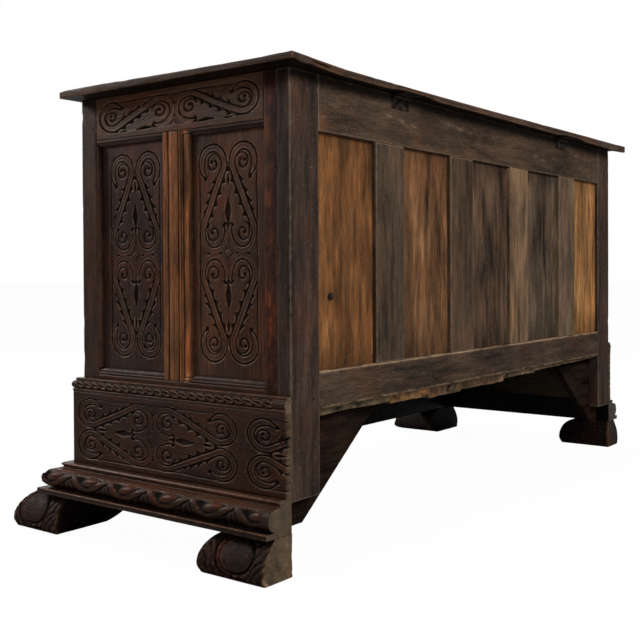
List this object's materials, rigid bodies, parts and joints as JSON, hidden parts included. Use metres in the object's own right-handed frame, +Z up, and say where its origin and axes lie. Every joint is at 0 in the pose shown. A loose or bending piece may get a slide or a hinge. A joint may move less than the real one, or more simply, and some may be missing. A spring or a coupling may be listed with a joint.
{
  "type": "cassone",
  "caption": "Long frame and panel chest with a hinged flat lid, carved front and ends, plain panelled back, moulded plinth and carved block feet.",
  "frame": {"origin": "middle of the chest's bounding box on the floor, under the feet", "axes": "+X along the chest to its right-hand end seen from the carved front, +Y from the front to the plain back, +Z up"},
  "size_m": [1.812, 0.805, 0.98],
  "materials": {
    "carved_walnut": "carved, waxed and worn on its high spots",
    "frame_walnut": "dark waxed walnut",
    "muntin_walnut": "reddish worn walnut",
    "back_frame_wood": "dry, unpolished, grey-brown",
    "back_board_wood": "dry, unpolished boards",
    "bottom_board_wood": "raw sawn boards",
    "foot_walnut": "carved dark walnut",
    "lid_walnut": "dark waxed walnut, worn at the edges",
    "peg_wood": "dark oak pegs cut flush",
    "hinge_iron": "dark wrought iron"
  },
  "bodies": {
    "chest": {"front_top_rail": "carved_walnut", "front_panel_1": "carved_walnut", "front_panel_2": "carved_walnut", "front_panel_3": "carved_walnut", "front_panel_4": "carved_walnut", "front_panel_5": "carved_walnut", "end_top_rail_right": "carved_walnut", "end_top_rail_left": "carved_walnut", "end_panel_right_front": "carved_walnut", "end_panel_right_back": "carved_walnut", "end_panel_left_front": "carved_walnut", "end_panel_left_back": "carved_walnut", "plinth_board_front": "carved_walnut", "plinth_board_right": "carved_walnut", "plinth_board_left": "carved_walnut", "plinth_cap_front": "carved_walnut", "plinth_cap_right": "carved_walnut", "plinth_cap_left": "carved_walnut", "plinth_base_front": "carved_walnut", "plinth_base_right": "carved_walnut", "plinth_base_left": "carved_walnut", "front_post_right": "frame_walnut", "front_post_left": "frame_walnut", "end_stile_right": "frame_walnut", "end_stile_left": "frame_walnut", "front_low_rail": "frame_walnut", "end_low_rail_right": "frame_walnut", "end_low_rail_left": "frame_walnut", "front_muntins": "muntin_walnut", "end_muntin_right": "muntin_walnut", "end_muntin_left": "muntin_walnut", "front_panel_strips": "muntin_walnut", "end_panel_strips_right": "muntin_walnut", "end_panel_strips_left": "muntin_walnut", "back_stile_right": "back_frame_wood", "back_stile_left": "back_frame_wood", "back_top_rail": "back_frame_wood", "back_low_rail": "back_frame_wood", "back_muntins": "back_frame_wood", "corner_brackets": "back_frame_wood", "back_panel_1": "back_board_wood", "back_panel_2": "back_board_wood", "back_panel_3": "back_board_wood", "back_panel_4": "back_board_wood", "back_panel_5": "back_board_wood", "bottom_boards": "bottom_board_wood", "bottom_bearer": "bottom_board_wood", "foot_back_right": "foot_walnut", "foot_back_left": "foot_walnut", "foot_front_right": "foot_walnut", "foot_front_left": "foot_walnut", "frame_pegs": "peg_wood", "hinge_leaves_case": "hinge_iron", "hinge_pins": "hinge_iron", "hinge_nails_case": "hinge_iron"},
    "lid": {"lid_boards": "lid_walnut", "lid_cleats": "lid_walnut", "hinge_leaves_lid": "hinge_iron", "hinge_nails_lid": "hinge_iron"}
  },
  "joints": [
    {"name": "lid_hinge", "type": "hinge", "parent": "chest", "child": "lid", "pos_m": [0, 0.3678, 0.9547], "axis": [-1, 0, 0], "range_deg": [0, 100]}
  ]
}
